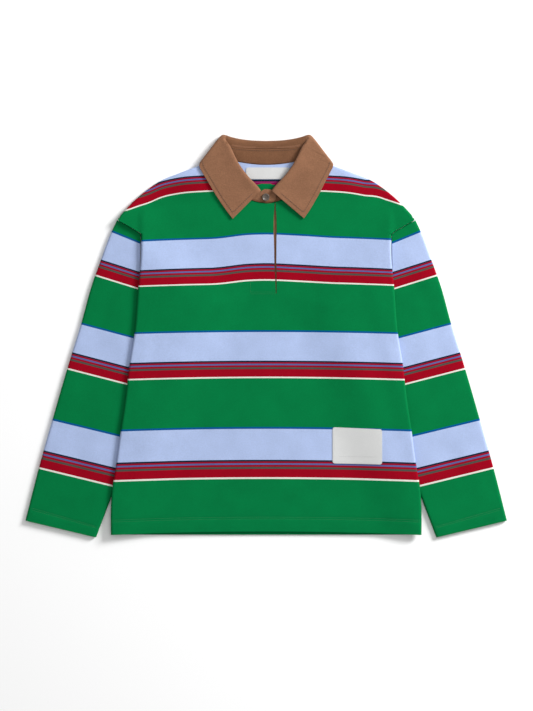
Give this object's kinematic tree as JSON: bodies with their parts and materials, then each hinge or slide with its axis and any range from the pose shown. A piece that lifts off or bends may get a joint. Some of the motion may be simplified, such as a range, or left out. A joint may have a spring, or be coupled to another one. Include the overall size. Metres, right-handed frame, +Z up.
{
  "type": "long-sleeve polo shirt, laid flat",
  "caption": "Child's long-sleeve polo shirt of striped jersey, laid flat, with a twill collar on a band, a concealed placket and a hem label.",
  "frame": {"origin": "on the table, under the middle of the laid-out shirt's box", "axes": "+X across the shirt to the viewer's right, +Y up the shirt towards the collar, +Z up from the table"},
  "size_m": [0.7226, 0.6028, 0.0151],
  "materials": {
    "jersey": "matte cotton jersey, green with stripe groups",
    "twill": "brushed tan twill",
    "button": "satin, horn-like",
    "label": "woven tape"
  },
  "bodies": {
    "root": {"front_panel": "jersey", "back_panel": "jersey", "sleeve_left": "jersey", "sleeve_right": "jersey", "collar_stand": "twill", "collar_fall": "twill", "under_placket": "twill", "button": "button", "neck_label": "label", "size_tab": "label", "hem_label": "label"}
  },
  "joints": []
}
